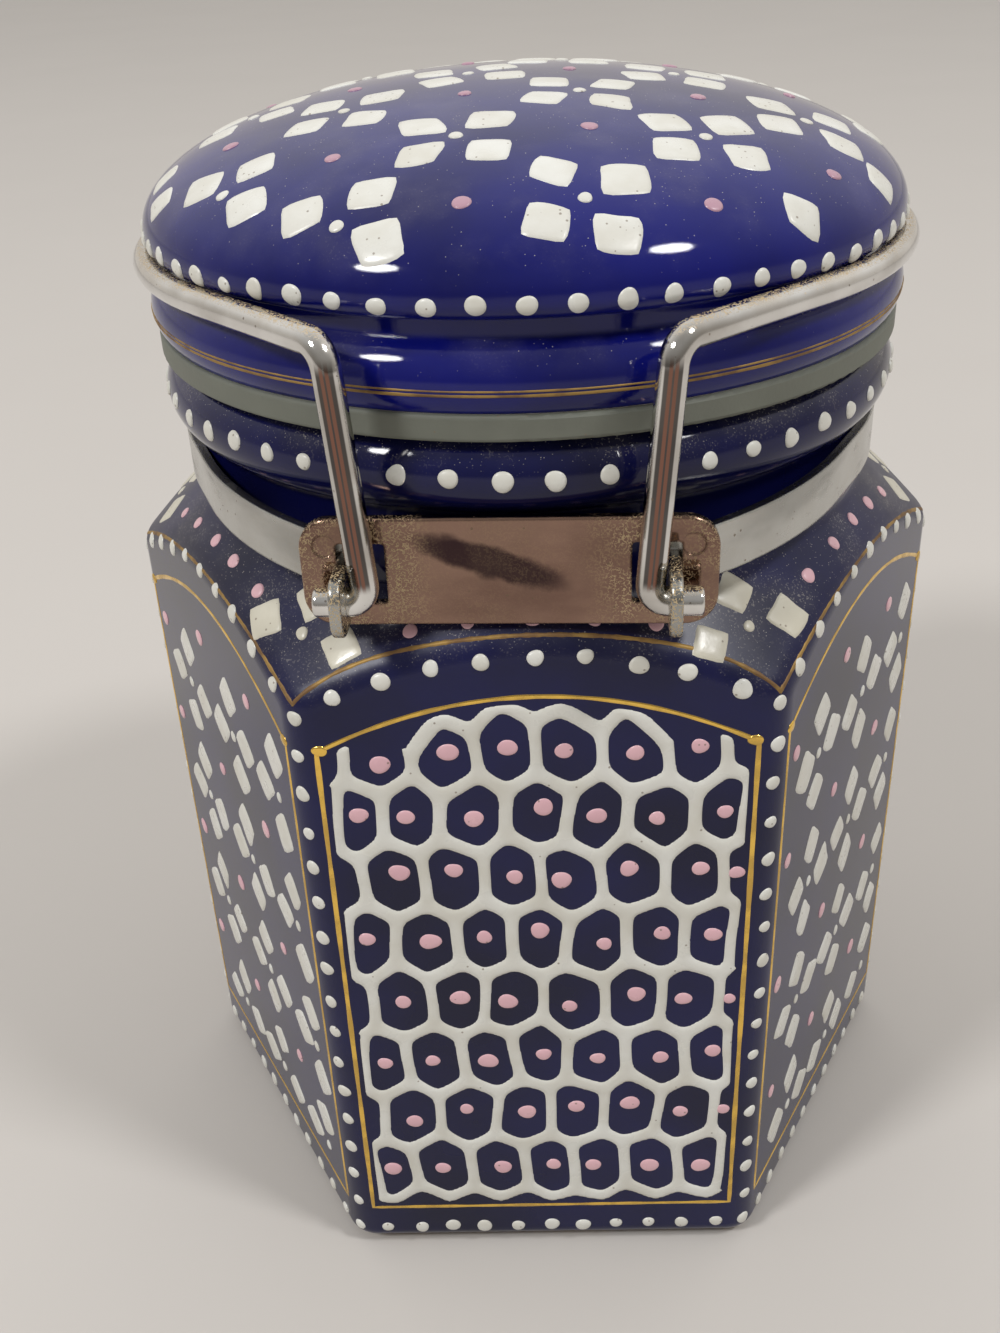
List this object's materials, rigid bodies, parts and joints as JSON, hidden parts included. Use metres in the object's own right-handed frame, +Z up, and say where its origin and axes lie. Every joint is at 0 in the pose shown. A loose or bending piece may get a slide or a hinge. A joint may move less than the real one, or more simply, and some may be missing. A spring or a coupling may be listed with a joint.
{
  "type": "clip-top canister",
  "caption": "Six-sided glazed storage canister with a domed lid, rubber seal ring and a hinged wire bail that clips shut with a wire lever.",
  "frame": {"origin": "on the table, under the middle of the jar", "axes": "+Z up along the jar's axis; the hinge side faces -Y and the latch side +Y; two of the six flats face -Y and +Y"},
  "size_m": [0.1154, 0.1164, 0.159],
  "materials": {
    "jar_glaze": "deep blue gloss glaze with fired enamel and gilt lines",
    "lid_glaze": "deep blue gloss glaze with fired enamel and a gilt line",
    "seal_rubber": "grey-green matt rubber",
    "band_steel": "satin plated steel with light scuffs",
    "plate_steel": "bright plated steel, dusty",
    "keeper_steel": "bright plated steel",
    "bail_chrome": "bright plated wire",
    "lever_chrome": "bright plated wire"
  },
  "bodies": {
    "jar": {"jar_body": "jar_glaze", "neck_band": "band_steel", "hinge_plate": "plate_steel", "keeper_plate": "keeper_steel"},
    "lid": {"lid": "lid_glaze", "seal_ring": "seal_rubber", "bail_wire": "bail_chrome"},
    "lever": {"latch_lever": "lever_chrome"}
  },
  "joints": [
    {"name": "lid_hinge", "type": "hinge", "parent": "jar", "child": "lid", "pos_m": [-0.00277, -0.05278, 0.1113], "axis": [0.9986, -0.0523, 0], "range_deg": [0, 180]},
    {"name": "latch_swing", "type": "hinge", "parent": "lid", "child": "lever", "pos_m": [0.00281, 0.05357, 0.1392], "axis": [0.9986, -0.0523, 0], "range_deg": [0, 165]}
  ]
}
